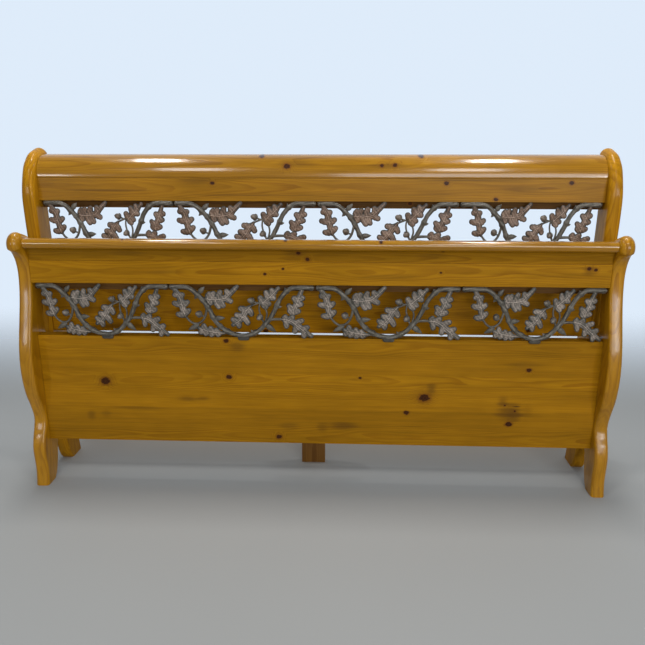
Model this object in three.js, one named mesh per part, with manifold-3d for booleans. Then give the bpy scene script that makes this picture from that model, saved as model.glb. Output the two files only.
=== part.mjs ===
// A king-size pine sleigh bed with cast-iron oak-leaf openwork, knocked down: the footboard
// stands in front of the headboard, and the side rails, slats and centre beam are stacked on
// the floor behind the headboard. Millimetres, +Z up, footboard towards -Y, +X to the right
// seen from the foot. The origin is on the floor, at the middle of the whole set.
import * as THREE from "three";
import { mergeVertices, mergeGeometries } from "three/addons/utils/BufferGeometryUtils.js";
import Module from "manifold-3d";

const wasm = await Module();
wasm.setup();

// ---- Driving dimensions ----
const GAP = 0.3; // between pieces that touch
const WIDTH = 2050; // over the posts
const POST_THICKNESS = 47;
const EDGE_RADIUS = 11; // of a post's rounded edges
const BALL_RADIUS = 22.5; // of the edges round a post's scroll, which make it a ball
const CREST_HEIGHT = 78; // crest roll above the rail boards, and the rail boards' own height
const RISE = 267; // headboard's crest above the footboard's
const CREST_SEAM = 826; // seam between the footboard's frieze and its crest, above the floor
const BOARD = 22; // rail board thickness, each of the three layers under the crest
const OPENWORK_HEIGHT = 188; // from a panel's top edge to the rail board above it
const PANEL_THICKNESS = 25;
const FOOT_PANEL_BOTTOM = 162;
const HEAD_PANEL_BOTTOM = 540;
const FOOT_FRONT = 0; // front plane of the footboard's panel, before centring
const HEAD_FRONT = 130; // front plane of the headboard's panel
// Openwork castings: left end, ends of the vine in the unit, and place and scale of the rest.
const CASTINGS = [
  { start: -975, vine: [14, 471], shift: 18.7, scale: 0.909 },
  { start: -502, vine: [3, 497], shift: 0, scale: 1 },
  { start: -2, vine: [3, 487], shift: 0, scale: 1 },
  { start: 488, vine: [3, 478], shift: 28.7, scale: 0.909 },
];
const VINE_RADIUS = 7;
const LEAF_THICKNESS = 4;
const CASTING_DEPTH = 5; // of the castings' middle plane in front of the panel's face
const BATTEN = { thickness: 18, height: 70 }; // behind the panels' edges
const CORE_HEIGHT = 104; // of the hidden middle layer of board
const TENON_LENGTH = 15;
const TENON_THICKNESS = 12;
const RAIL_LENGTH = 2020;
const RAIL_HEIGHT = 180;
const RAIL_THICKNESS = 25;
const RAIL_STACK_FRONT = 340; // front face of the nearer side rail, before centring
const RAIL_SPACING = 75; // between the two stacked side rails
const LEDGER = 25; // square of the slat ledgers
const LEDGER_LENGTH = 1900;
const LEDGER_BOTTOM = 20;
const SLAT = { count: 5, length: 1930, width: 70, thickness: 19 };
const BEAM = { length: 2000, width: 70, height: 45 };
const BEAM_LEG = { length: 250, width: 60, thickness: 40 };
const PLATE = { width: 22, height: 150, thickness: 3, bottom: 210 };
const SLOT = { width: 6.5, height: 34, rise: 84, bottom: 20 }; // two hook slots in a plate
const HOOK = { thickness: 4, reach: 11, drop: 14, neck: 14, finger: 4 };
const POCKET = { width: 12, depth: 14 };

// ---- Derived places ----
const INNER = WIDTH / 2 - POST_THICKNESS; // inner face of a post
const HEAD_OUTER = HEAD_FRONT + 3 * BOARD; // outer plane of the headboard's crest
const PANEL_TOP = CREST_SEAM - CREST_HEIGHT - OPENWORK_HEIGHT;
const REARMOST = RAIL_STACK_FRONT + 2 * RAIL_THICKNESS + RAIL_SPACING - GAP / 2;

// ---- Materials ----
function surface(color, roughness, metalness) {
  return new THREE.MeshStandardMaterial({ color, roughness, metalness });
}
const pine = surface(0xb8731d, 0.35, 0);
const shadedPine = surface(0x8a5014, 0.45, 0);
const rawPine = surface(0xd9b27a, 0.7, 0);
const castIron = surface(0x6f6c66, 0.5, 0.7);
const steel = surface(0x8c8f92, 0.4, 0.9);

// ---- Solids ----
function solidOf(geometry) {
  const bare = new THREE.BufferGeometry();
  const flat = geometry.index ? geometry.toNonIndexed() : geometry;
  bare.setAttribute("position", flat.getAttribute("position"));
  const merged = mergeVertices(bare, 1e-4);
  return new wasm.Manifold(
    new wasm.Mesh({
      numProp: 3,
      vertProperties: merged.attributes.position.array,
      triVerts: new Uint32Array(merged.index.array),
    }),
  );
}

function geometryOf(solid) {
  const mesh = solid.getMesh();
  const geometry = new THREE.BufferGeometry();
  geometry.setAttribute("position", new THREE.BufferAttribute(mesh.vertProperties, 3));
  geometry.setIndex(new THREE.BufferAttribute(mesh.triVerts, 1));
  return geometry;
}

function box([x0, x1], [y0, y1], [z0, z1]) {
  const geometry = new THREE.BoxGeometry(x1 - x0, y1 - y0, z1 - z0);
  return geometry.translate((x0 + x1) / 2, (y0 + y1) / 2, (z0 + z1) / 2);
}

const bed = new THREE.Group();
const set = new THREE.Group(); // everything, in the frame of the footboard's front plane
bed.add(set);

function add(name, geometry, material) {
  const mesh = new THREE.Mesh(geometry, material);
  mesh.name = name;
  set.add(mesh);
  return mesh;
}

// A board that keeps half a gap to everything it touches.
function board(name, material, [x0, x1], [y0, y1], [z0, z1], tenon) {
  const e = GAP / 2;
  let solid = solidOf(box([x0 + e, x1 - e], [y0 + e, y1 - e], [z0 + e, z1 - e]));
  if (tenon) solid = solid.add(solidOf(tenonBox(tenon, x1 + TENON_LENGTH, 0)));
  return add(name, geometryOf(solid), material);
}

// A tenon that runs through both ends of a board, and its mortise with clearance.
function tenonBox({ middle, thickness, low, high }, reach, clearance) {
  const half = thickness / 2 + clearance;
  const y = [middle - half, middle + half];
  return box([-reach, reach], y, [low - clearance, high + clearance]);
}

// ---- Posts ----
// Outlines are in (u, z), u outwards from the bed, from the toe up over the scroll and down.
const SCROLL = { u: 22, radius: 40 };

// rounded is 0 where the edge stays square, at the side rail.
function outlinePoint(u, z, rounded = 1) {
  return { u, z, rounded };
}

// Radius of a post's edges at a height: it grows to the ball's between two heights.
function edgeRadius(z, from, to) {
  return EDGE_RADIUS + (BALL_RADIUS - EDGE_RADIUS) * THREE.MathUtils.smoothstep(z, from, to);
}

function curveThrough(points, steps) {
  const curve = new THREE.SplineCurve(points.map(([u, z]) => new THREE.Vector2(u, z)));
  return curve.getPoints(steps).map((p) => outlinePoint(p.x, p.y));
}

function scrollArc(height, from, to, steps) {
  const arc = [];
  for (let i = 1; i < steps; i++) {
    const a = from + ((to - from) * i) / steps;
    const u = SCROLL.u + SCROLL.radius * Math.cos(a);
    arc.push(outlinePoint(u, height + SCROLL.radius * Math.sin(a)));
  }
  return arc;
}

function footPostOutline() {
  const outer = [
    [57, 0], [48, 60], [52, 135], [40, 183], [24, 218], [16, 252], [30, 300], [51, 350],
    [63, 402], [67, 460], [61, 515], [48, 570], [28, 635], [11, 695], [2, 745], [0, 785],
    [5, 815], [15, 838], [36, 857],
  ];
  const inner = [
    [22, 925], [-32, 906], [-62, 884], [-78, 852], [-89, 817], [-93, 770], [-90, 730],
    [-80, 688], [-68, 640], [-60, 590],
  ];
  const heel = [[-60, 140], [-54, 88], [-42, 46], [-28, 15], [-14, 0]];
  const points = [
    ...curveThrough(outer, 26),
    ...scrollArc(885, -0.6, Math.PI / 2, 6),
    ...curveThrough(inner, 12).slice(0, -1),
    outlinePoint(-60, 590, 0),
    outlinePoint(-60, 140, 0),
    ...curveThrough(heel, 5).slice(1),
  ];
  return points.map((p) => ({ ...p, edge: edgeRadius(p.z, 833, 867) }));
}

function headPostOutline() {
  const outer = [
    [57, 0], [48, 60], [52, 135], [40, 183], [24, 218], [16, 252], [30, 300], [51, 355],
    [65, 430], [66, 490], [58, 560], [43, 640], [24, 735], [10, 840], [3, 940], [1, 1050],
    [5, 1082], [15, 1105], [36, 1124],
  ];
  const inner = [
    [22, 1192], [-28, 1177], [-56, 1156], [-76, 1133], [-92, 1095], [-101, 1045], [-101, 980],
    [-97, 900], [-87, 770], [-78, 665], [-74, 590],
  ];
  const heel = [[-74, 140], [-68, 88], [-56, 46], [-42, 15], [-28, 0]];
  const points = [
    ...curveThrough(outer, 26),
    ...scrollArc(1152, -0.6, Math.PI / 2, 6),
    ...curveThrough(inner, 13).slice(0, -1),
    outlinePoint(-74, 590, 0),
    outlinePoint(-74, 140, 0),
    ...curveThrough(heel, 5).slice(1),
  ];
  return points.map((p) => ({ ...p, edge: edgeRadius(p.z, 1002, 1122) }));
}

// Stations across a post from one face to the other: side of its middle, turn of the edge.
const EDGE_TURNS = [0, Math.PI / 4, Math.PI / 2];
const STATIONS = [
  ...EDGE_TURNS.map((turn) => ({ side: -1, turn })),
  ...EDGE_TURNS.map((turn) => ({ side: 1, turn })).reverse(),
];

function postGeometry(outline) {
  const count = outline.length;
  const inward = outline.map((p, i) => {
    const before = outline[(i + count - 1) % count];
    const after = outline[(i + 1) % count];
    const normal = new THREE.Vector2(-(after.z - before.z), after.u - before.u).normalize();
    if (p.z === 0) normal.set(Math.sign(normal.x), 0);
    return normal;
  });
  const vertices = [];
  for (const { side, turn } of STATIONS) {
    outline.forEach((p, i) => {
      const x = side * (POST_THICKNESS / 2 - p.edge * (1 - Math.cos(turn)));
      const d = p.edge * (1 - Math.sin(turn)) * p.rounded;
      vertices.push(x, p.u + inward[i].x * d, p.z + inward[i].y * d);
    });
  }
  const faces = [];
  for (let s = 0; s < STATIONS.length - 1; s++) {
    for (let i = 0; i < count; i++) {
      const j = (i + 1) % count;
      const [a, b] = [s * count + i, s * count + j];
      faces.push(a, b, b + count, a, b + count, a + count);
    }
  }
  const flat = outline.map((p, i) => new THREE.Vector2(vertices[3 * i + 1], vertices[3 * i + 2]));
  const top = (STATIONS.length - 1) * count;
  for (const [a, b, c] of THREE.ShapeUtils.triangulateShape(flat, [])) {
    faces.push(a, c, b, top + a, top + b, top + c);
  }
  const geometry = new THREE.BufferGeometry();
  geometry.setAttribute("position", new THREE.Float32BufferAttribute(vertices, 3));
  geometry.setIndex(faces);
  return geometry;
}

// A post in place: u points to -Y on the footboard and to +Y on the headboard.
function postSolid(outline, side, outwards, plane) {
  const post = solidOf(postGeometry(outline));
  const facing = outwards > 0 ? post : post.mirror([0, 1, 0]);
  return facing.translate([side * (WIDTH / 2 - POST_THICKNESS / 2), plane, 0]);
}

// The recess, pocket and hook slots of a strike plate on the post's inner edge at y = edge.
function plateRecess(x, edge, into) {
  const half = PLATE.width / 2 + GAP;
  const plate = box(
    [x - half, x + half],
    [edge - 1, edge + PLATE.thickness + GAP].sort((a, b) => a - b),
    [PLATE.bottom - GAP, PLATE.bottom + PLATE.height + GAP],
  );
  const pocket = box(
    [x - POCKET.width / 2, x + POCKET.width / 2],
    [edge - 1, edge + POCKET.depth],
    [PLATE.bottom + SLOT.bottom - 6, PLATE.bottom + SLOT.bottom + SLOT.rise + SLOT.height + 2],
  );
  const cut = solidOf(plate).add(solidOf(pocket));
  return into > 0 ? cut : cut.translate([0, -edge, 0]).mirror([0, 1, 0]).translate([0, edge, 0]);
}

function slotHeights() {
  return [0, SLOT.rise].map((rise) => PLATE.bottom + SLOT.bottom + rise);
}

function strikePlate(x, edge, into) {
  const y = [edge, edge + into * PLATE.thickness].sort((a, b) => a - b);
  const plate = box([x - PLATE.width / 2, x + PLATE.width / 2], y, [
    PLATE.bottom, PLATE.bottom + PLATE.height,
  ]);
  let solid = solidOf(plate);
  for (const low of slotHeights()) {
    const slot = box(
      [x - SLOT.width / 2, x + SLOT.width / 2],
      [edge - 5, edge + 5],
      [low, low + SLOT.height],
    );
    solid = solid.subtract(solidOf(slot));
  }
  return solid;
}

function addPosts(prefix, outline, outwards, plane, tenons) {
  const edge = plane - outwards * Math.abs(outline.find((p) => p.rounded === 0).u);
  for (const [side, label] of [[-1, "left"], [1, "right"]]) {
    let post = postSolid(outline, side, outwards, plane);
    for (const tenon of tenons) {
      post = post.subtract(solidOf(tenonBox(tenon, INNER + TENON_LENGTH + GAP, GAP)));
    }
    const x = side * (WIDTH / 2 - POST_THICKNESS / 2);
    post = post.subtract(plateRecess(x, edge, outwards));
    add(`${prefix}_post_${label}`, geometryOf(post), pine);
    const plate = strikePlate(x, edge, outwards);
    add(`${prefix}_strike_plate_${label}`, geometryOf(plate), steel);
  }
}

// ---- Crest: roll, cove moulding and three layers of board under them ----
function extrudeAcross(points, halfLength) {
  const shape = new THREE.Shape(points.map(([u, z]) => new THREE.Vector2(u, z)));
  const geometry = new THREE.ExtrudeGeometry(shape, { depth: 2 * halfLength, bevelEnabled: false });
  geometry.translate(0, 0, -halfLength);
  return geometry.rotateX(Math.PI / 2).rotateZ(Math.PI / 2);
}

function arcPoints(u, z, ru, rz, from, to, steps) {
  return Array.from({ length: steps + 1 }, (_, i) => {
    const a = from + ((to - from) * i) / steps;
    return [u + ru * Math.cos(a), z + rz * Math.sin(a)];
  });
}

const NOSE = { u: 21, z: 61, radius: 17 };
const COVE = { depth: 20, height: 44, back: -14 };

function rollSection() {
  const e = GAP / 2;
  const back = -3 * BOARD + e;
  const crown = 13;
  return [
    ...arcPoints(NOSE.u, NOSE.z, NOSE.radius, NOSE.radius, -1.75, Math.PI / 2, 12),
    ...arcPoints(crown, e, crown - back, CREST_HEIGHT - e, Math.PI / 2, Math.PI, 10),
    [COVE.back - e, e],
    [COVE.back - e, COVE.height + e],
  ];
}

function coveSection() {
  const e = GAP / 2;
  const hollow = arcPoints(COVE.depth, 0, COVE.depth, COVE.height - e, Math.PI, Math.PI / 2, 8);
  return [[COVE.back + e, e], [0, e], ...hollow.slice(1), [COVE.back + e, COVE.height - e]];
}

function addCrest(prefix, outwards, plane, seam, names) {
  const half = INNER - GAP;
  const place = (section) => {
    const points = section.map(([u, z]) => [outwards * u, z]);
    const geometry = extrudeAcross(outwards > 0 ? points : points.reverse(), half);
    return geometry.translate(0, plane, seam);
  };
  add(`${prefix}_crest_roll`, place(rollSection()), pine);
  add(`${prefix}_cove_moulding`, place(coveSection()), pine);
  const layer = (i) => {
    const ys = [plane - outwards * i * BOARD, plane - outwards * (i + 1) * BOARD];
    return ys.sort((a, b) => a - b);
  };
  const x = [-INNER + GAP / 2, INNER - GAP / 2];
  const z = [seam - CREST_HEIGHT, seam];
  board(`${prefix}_${names[0]}`, pine, x, layer(0), z);
  board(`${prefix}_${names[1]}`, pine, x, layer(2), z);
  const core = coreTenon(outwards, plane, seam);
  board(`${prefix}_core_batten`, shadedPine, x, layer(1), [seam - CORE_HEIGHT, seam], core);
}

function coreTenon(outwards, plane, seam) {
  const middle = plane - outwards * 1.5 * BOARD;
  return { middle, thickness: TENON_THICKNESS, low: seam - CORE_HEIGHT + 16, high: seam - 18 };
}

function panelTenon(front, low, high) {
  const middle = front + PANEL_THICKNESS / 2;
  return { middle, thickness: TENON_THICKNESS, low: low + 30, high: high - 30 };
}

// ---- Openwork castings ----
// A unit is drawn in (s, t): s to the right from its left end, t up from the panel's top edge.
const VINE = [
  [40, 180], [62, 178], [82, 168], [99, 152], [115, 136], [127, 118], [139, 98], [149, 74],
  [162, 53], [180, 35], [200, 22], [222, 13], [247, 9], [270, 11], [292, 19], [312, 33],
  [329, 51], [344, 68], [355, 87], [364, 105], [372, 122], [382, 142], [397, 161], [413, 174],
  [434, 180],
];
const STEMS = [
  {
    radius: 4,
    through: [[130, 112], [126, 91], [119, 71], [104, 54], [84, 50], [67, 60], [53, 78]],
  },
  { radius: 3.5, through: [[325, 54], [314, 80], [309, 103], [311, 124]] },
  { radius: 3.5, through: [[326, 50], [335, 86], [328, 111], [312, 126]] },
  { radius: 4.5, through: [[343, 67], [364, 69], [390, 69]] },
  { radius: 3.5, through: [[314, 125], [300, 126], [286, 133]] },
  { radius: 3.5, through: [[308, 125], [292, 120], [276, 111]] },
  { radius: 3.5, through: [[404, 70], [414, 78], [427, 94]] },
  { radius: 3.2, through: [[121, 76], [112, 78], [103, 84]] },
];
const LEAVES = [
  { base: [55, 73], tip: [14, 182], width: 64 },
  { base: [124, 136], tip: [240, 184], width: 66 },
  { base: [196, 19], tip: [94, 37], width: 42 },
  { base: [280, 116], tip: [213, 44], width: 64 },
  { base: [312, 120], tip: [378, 182], width: 54 },
  { base: [424, 87], tip: [458, 182], width: 56 },
  { base: [385, 72], tip: [494, 7], width: 62 },
];
const NUTS = [
  { at: [103, 84], radius: 11.5 },
  { at: [284, 133], radius: 11.5 },
  { at: [313, 78], radius: 11 },
  { at: [166, 70], radius: 11 },
  { at: [107, 162], radius: 11 },
  { at: [341, 43], radius: 10 },
  { at: [81, 41], radius: 9 },
];
const LEAF_HALF = [[-0.04, 0.08], [0.2, 0.48], [0.36, 0.2], [0.55, 0.46], [0.7, 0.2]];

function rodGeometry(points, radius, sides, steps) {
  const path = new THREE.CatmullRomCurve3(points.map(([s, t]) => new THREE.Vector3(s, 0, t)));
  const ring = Array.from({ length: sides }, (_, i) => {
    const a = (2 * Math.PI * i) / sides;
    return new THREE.Vector2(radius * Math.cos(a), radius * Math.sin(a));
  });
  return new THREE.ExtrudeGeometry(new THREE.Shape(ring), { steps, extrudePath: path });
}

function leafGeometry({ base, tip, width }) {
  const along = new THREE.Vector2(tip[0] - base[0], tip[1] - base[1]);
  const across = new THREE.Vector2(-along.y, along.x).normalize().multiplyScalar(width);
  const at = ([a, b]) => new THREE.Vector2(
    base[0] + a * along.x + b * across.x,
    base[1] + a * along.y + b * across.y,
  );
  const left = LEAF_HALF.map(at);
  const right = LEAF_HALF.map(([a, b]) => at([a, -b])).reverse();
  const shape = new THREE.Shape([...left, at([1, 0]), ...right]);
  const plate = new THREE.ExtrudeGeometry(shape, { depth: LEAF_THICKNESS, bevelEnabled: false });
  return plate.translate(0, 0, -LEAF_THICKNESS / 2).rotateX(Math.PI / 2);
}

function nutGeometry({ at, radius }) {
  return new THREE.SphereGeometry(radius, 5, 3).rotateX(Math.PI / 2).translate(at[0], 0, at[1]);
}

function unionOf(geometries) {
  return wasm.Manifold.union(geometries.map(solidOf));
}

function castingSolid({ vine, shift, scale }) {
  const at = ([s, t]) => [shift + scale * s, t];
  const [left, right] = vine;
  const pieces = [rodGeometry([[left, 180], ...VINE.map(at), [right, 180]], VINE_RADIUS, 5, 30)];
  for (const { radius, through } of STEMS) {
    pieces.push(rodGeometry(through.map(at), radius, 3, through.length - 1));
  }
  for (const { base, tip, width } of LEAVES) {
    pieces.push(leafGeometry({ base: at(base), tip: at(tip), width }));
  }
  NUTS.forEach((nut) => pieces.push(nutGeometry({ ...nut, at: at(nut.at) })));
  // screw lugs: two back to the batten behind the vine's ends, one over the panel's edge
  const batten = CASTING_DEPTH + BOARD - GAP;
  pieces.push(box([left + 3, left + 17], [0, batten], [170, 184]));
  pieces.push(box([right - 17, right - 3], [0, batten], [170, 184]));
  const [middle] = at([252, 0]);
  pieces.push(box([middle - 18, middle + 18], [-3, CASTING_DEPTH - GAP], [-9, 9]));
  return unionOf(pieces);
}

function addCastings(prefix, front, panelTop) {
  CASTINGS.forEach((unit, i) => {
    const placed = castingSolid(unit).translate([unit.start, front - CASTING_DEPTH, panelTop]);
    add(`${prefix}_leaf_casting_${i + 1}`, geometryOf(placed), castIron);
  });
}

// ---- Footboard ----
const innerSpan = [-INNER + GAP / 2, INNER - GAP / 2];

function addFootboard() {
  const panel = panelTenon(FOOT_FRONT, FOOT_PANEL_BOTTOM, PANEL_TOP);
  const core = coreTenon(-1, FOOT_FRONT, CREST_SEAM);
  addPosts("footboard", footPostOutline(), -1, FOOT_FRONT, [panel, core]);
  addCrest("footboard", -1, FOOT_FRONT, CREST_SEAM, ["frieze_board", "inner_rail_board"]);
  const back = FOOT_FRONT + PANEL_THICKNESS;
  board("footboard_panel", pine, innerSpan, [FOOT_FRONT, back], [FOOT_PANEL_BOTTOM, PANEL_TOP], panel);
  const batten = [back, back + BATTEN.thickness];
  board("footboard_panel_batten", pine, innerSpan, batten, [PANEL_TOP - BATTEN.height, PANEL_TOP]);
  board("footboard_beam_cleat", rawPine, [-60, 60], [back, back + 34], [190, 235]);
  addCastings("footboard", FOOT_FRONT, PANEL_TOP);
}

// ---- Headboard ----
function addHeadboard() {
  const top = PANEL_TOP + RISE;
  const seam = CREST_SEAM + RISE;
  const panel = panelTenon(HEAD_FRONT, HEAD_PANEL_BOTTOM, top);
  const back = HEAD_FRONT + PANEL_THICKNESS;
  const stretcher = { middle: back - 2, thickness: TENON_THICKNESS, low: 265, high: 335 };
  const core = coreTenon(1, HEAD_OUTER, seam);
  addPosts("headboard", headPostOutline(), 1, HEAD_OUTER, [panel, stretcher, core]);
  addCrest("headboard", 1, HEAD_OUTER, seam, ["back_rail_board", "front_rail_board"]);
  board("headboard_panel", pine, innerSpan, [HEAD_FRONT, back], [HEAD_PANEL_BOTTOM, top], panel);
  const batten = [back, back + BATTEN.thickness];
  board("headboard_panel_top_batten", pine, innerSpan, batten, [top - BATTEN.height, top]);
  const lower = [HEAD_PANEL_BOTTOM - 8, HEAD_PANEL_BOTTOM + 45];
  board("headboard_panel_lower_batten", shadedPine, innerSpan, batten, lower);
  board("headboard_stretcher", pine, innerSpan, [back - 15, back + 10], [250, 350], stretcher);
  board("headboard_beam_cleat", rawPine, [-60, 60], [back - 49, back - 15], [252, 297]);
  board("headboard_centre_leg", shadedPine, [-64, 26], [back + 10, back + 35], [0, 350]);
  addCastings("headboard", HEAD_FRONT, top);
}

// ---- Side rails, stacked behind the headboard ----
function hookPlate(x, end, y, bottom) {
  const near = end > 0 ? x : x - PLATE.thickness;
  const middle = [y - PLATE.width / 2, y + PLATE.width / 2];
  let solid = solidOf(box([near, near + PLATE.thickness], middle, [bottom, bottom + PLATE.height]));
  for (const rise of [0, SLOT.rise]) {
    const low = bottom + SLOT.bottom + rise;
    const base = end > 0 ? near + PLATE.thickness : near;
    const reach = [base - end * 0.5, base + end * HOOK.reach].sort((a, b) => a - b);
    const finger = [base + end * (HOOK.reach - HOOK.finger), base + end * HOOK.reach];
    const across = [y - HOOK.thickness / 2, y + HOOK.thickness / 2];
    const neck = [low + HOOK.drop, low + HOOK.drop + HOOK.neck];
    solid = solid.add(solidOf(box(reach, across, neck)));
    const drop = box(finger.sort((a, b) => a - b), across, [low, low + HOOK.drop + 1]);
    solid = solid.add(solidOf(drop));
  }
  return solid;
}

function addSideRail(label, front, ledgerSide) {
  const half = RAIL_LENGTH / 2;
  const y = [front, front + RAIL_THICKNESS];
  board(`side_rail_${label}`, pine, [-half, half], y, [0, RAIL_HEIGHT]);
  const ledger = ledgerSide > 0 ? [y[1], y[1] + LEDGER] : [y[0] - LEDGER, y[0]];
  const ledgerZ = [LEDGER_BOTTOM, LEDGER_BOTTOM + LEDGER];
  board(`slat_ledger_${label}`, rawPine, [-LEDGER_LENGTH / 2, LEDGER_LENGTH / 2], ledger, ledgerZ);
  for (const [end, name] of [[-1, "head"], [1, "foot"]]) {
    const plate = hookPlate(end * half, end, front + RAIL_THICKNESS / 2, 15);
    add(`rail_hook_plate_${label}_${name}`, geometryOf(plate), steel);
  }
}

function addStack() {
  const second = RAIL_STACK_FRONT + RAIL_THICKNESS + RAIL_SPACING;
  addSideRail("left", RAIL_STACK_FRONT, 1);
  addSideRail("right", second, -1);
  const middle = RAIL_STACK_FRONT + RAIL_THICKNESS + RAIL_SPACING / 2;
  const across = (width) => [middle - width / 2, middle + width / 2];
  let z = LEDGER_BOTTOM + LEDGER;
  for (let i = 1; i <= SLAT.count; i++) {
    const x = [-SLAT.length / 2, SLAT.length / 2];
    board(`slat_${i}`, rawPine, x, across(SLAT.width), [z, z + SLAT.thickness]);
    z += SLAT.thickness;
  }
  const beam = [-BEAM.length / 2, BEAM.length / 2];
  board("centre_beam", rawPine, beam, across(BEAM.width), [z, z + BEAM.height]);
  z += BEAM.height;
  const leg = [-BEAM_LEG.length / 2, BEAM_LEG.length / 2];
  board("centre_beam_leg", rawPine, leg, across(BEAM_LEG.width), [z, z + BEAM_LEG.thickness]);
}

addFootboard();
addHeadboard();
addStack();
const frontmost = -Math.max(...footPostOutline().map((p) => p.u));
set.position.y = -(frontmost + REARMOST) / 2; // centres the set on the origin

export default bed;
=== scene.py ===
"""Looks of a knocked-down king-size pine sleigh bed with cast oak-leaf openwork.

Lengths in the tables are millimetres; everything placed in the scene is metres, row frame.
"""
import math
import random

import bmesh
import bpy
import numpy as np
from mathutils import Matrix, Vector


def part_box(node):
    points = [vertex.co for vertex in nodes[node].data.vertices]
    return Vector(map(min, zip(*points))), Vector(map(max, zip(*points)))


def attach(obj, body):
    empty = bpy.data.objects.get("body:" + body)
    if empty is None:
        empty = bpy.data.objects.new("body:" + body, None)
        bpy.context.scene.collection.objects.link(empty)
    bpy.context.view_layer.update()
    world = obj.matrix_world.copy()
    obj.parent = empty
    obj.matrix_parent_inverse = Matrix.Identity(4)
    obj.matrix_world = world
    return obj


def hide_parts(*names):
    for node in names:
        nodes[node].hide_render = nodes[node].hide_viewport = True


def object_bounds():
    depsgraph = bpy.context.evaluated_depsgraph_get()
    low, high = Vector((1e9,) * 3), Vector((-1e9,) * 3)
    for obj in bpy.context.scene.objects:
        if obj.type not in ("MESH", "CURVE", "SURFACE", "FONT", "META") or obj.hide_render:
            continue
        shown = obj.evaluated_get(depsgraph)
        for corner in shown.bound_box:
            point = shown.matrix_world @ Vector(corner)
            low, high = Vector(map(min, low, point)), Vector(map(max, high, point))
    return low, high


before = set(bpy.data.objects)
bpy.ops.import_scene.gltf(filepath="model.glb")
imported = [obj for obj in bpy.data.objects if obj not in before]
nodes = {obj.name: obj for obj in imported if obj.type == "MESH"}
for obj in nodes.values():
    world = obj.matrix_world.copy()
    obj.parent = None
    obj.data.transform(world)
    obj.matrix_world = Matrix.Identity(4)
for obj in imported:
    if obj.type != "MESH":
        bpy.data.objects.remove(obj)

MM = 0.001
SEAM_GAP = 0.15 * MM  # half of the gap between pieces that touch
cad_bounds = [list(corner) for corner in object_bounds()]

# ---- Places, read from the frame ----
POST = 47.0  # thickness across the bed
FOOT_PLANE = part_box("footboard_panel")[0].y - SEAM_GAP
HEAD_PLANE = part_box("headboard_back_rail_board")[1].y + SEAM_GAP
HEAD_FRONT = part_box("headboard_panel")[0].y - SEAM_GAP
FOOT_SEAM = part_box("footboard_frieze_board")[1].z + SEAM_GAP
HEAD_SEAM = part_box("headboard_back_rail_board")[1].z + SEAM_GAP
FOOT_PANEL_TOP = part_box("footboard_panel")[1].z + SEAM_GAP
HEAD_PANEL_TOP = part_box("headboard_panel")[1].z + SEAM_GAP
POST_X = cad_bounds[1][0] / MM - POST / 2
INNER = cad_bounds[1][0] / MM - POST


# ---- Mesh helpers ----
def outward_mesh(name, verts, faces):
    mesh = bpy.data.meshes.new(name)
    mesh.from_pydata([tuple(v) for v in verts], [], faces)
    mesh.update()
    bm = bmesh.new()
    bm.from_mesh(mesh)
    bmesh.ops.recalc_face_normals(bm, faces=bm.faces)
    bm.to_mesh(mesh)
    bm.free()
    return mesh


def place_in_scene(name, data):
    obj = bpy.data.objects.new(name, data)
    bpy.context.scene.collection.objects.link(obj)
    return obj


def make_object(name, verts, faces, material, crease=40):
    """A closed mesh piece with outward normals, smooth where it bends less than crease degrees."""
    mesh = outward_mesh(name, verts, faces)
    mesh.shade_smooth()
    mesh.set_sharp_from_angle(angle=math.radians(crease))
    mesh.materials.append(material)
    return place_in_scene(name, mesh)


def ring_faces(rings, sides, start=0):
    """Faces between stacked rings of vertices, and a cap on the first and last ring."""
    faces = []
    for i in range(rings - 1):
        a = start + i * sides
        for k in range(sides):
            n = (k + 1) % sides
            faces.append((a + k, a + n, a + sides + n, a + sides + k))
    top = start + (rings - 1) * sides
    faces.append(tuple(start + k for k in range(sides)))
    faces.append(tuple(top + k for k in reversed(range(sides))))
    return faces


def stand_for(obj, node):
    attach(obj, "root")
    if node:
        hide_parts(node)
    return obj


def box_object(x, y, z):
    """A plain cutter for Boolean cuts, in metres."""
    verts = [(a, b, c) for a in x for b in y for c in z]
    faces = [(0, 1, 3, 2), (4, 6, 7, 5), (0, 4, 5, 1), (2, 3, 7, 6), (0, 2, 6, 4), (1, 5, 7, 3)]
    return place_in_scene("cutter", outward_mesh("cutter", verts, faces))


def cut(obj, cutters):
    """Boolean cuts, applied, so that no cutter stays in the scene."""
    for i, cutter in enumerate(cutters):
        modifier = obj.modifiers.new(f"cut_{i}", "BOOLEAN")
        modifier.operation = "DIFFERENCE"
        modifier.solver = "EXACT"
        modifier.object = cutter
    bpy.context.view_layer.update()
    graph = bpy.context.evaluated_depsgraph_get()
    mesh = bpy.data.meshes.new_from_object(obj.evaluated_get(graph))
    obj.modifiers.clear()
    old = obj.data
    obj.data = mesh
    bpy.data.meshes.remove(old)
    for cutter in cutters:
        bpy.data.objects.remove(cutter)


def catmull(points, per_segment):
    """Uniform Catmull-Rom curve through the points, ends repeated."""
    p = np.array([points[0], *points, points[-1]], float)
    out = []
    for i in range(1, len(p) - 2):
        a, b, c, d = p[i - 1], p[i], p[i + 1], p[i + 2]
        for k in range(per_segment):
            t = k / per_segment
            v0, v1 = (c - a) / 2, (d - b) / 2
            cubic, square = 2 * b - 2 * c + v0 + v1, -3 * b + 3 * c - 2 * v0 - v1
            out.append(cubic * t**3 + square * t**2 + v0 * t + b)
    out.append(p[-2])
    return np.array(out)


def arc_lengths(points):
    """How far along a polyline each of its points lies."""
    return np.concatenate([[0], np.cumsum(np.linalg.norm(np.diff(points, axis=0), axis=1))])


def bell(distance, width):
    return np.exp(-((distance / width) ** 2))


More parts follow.
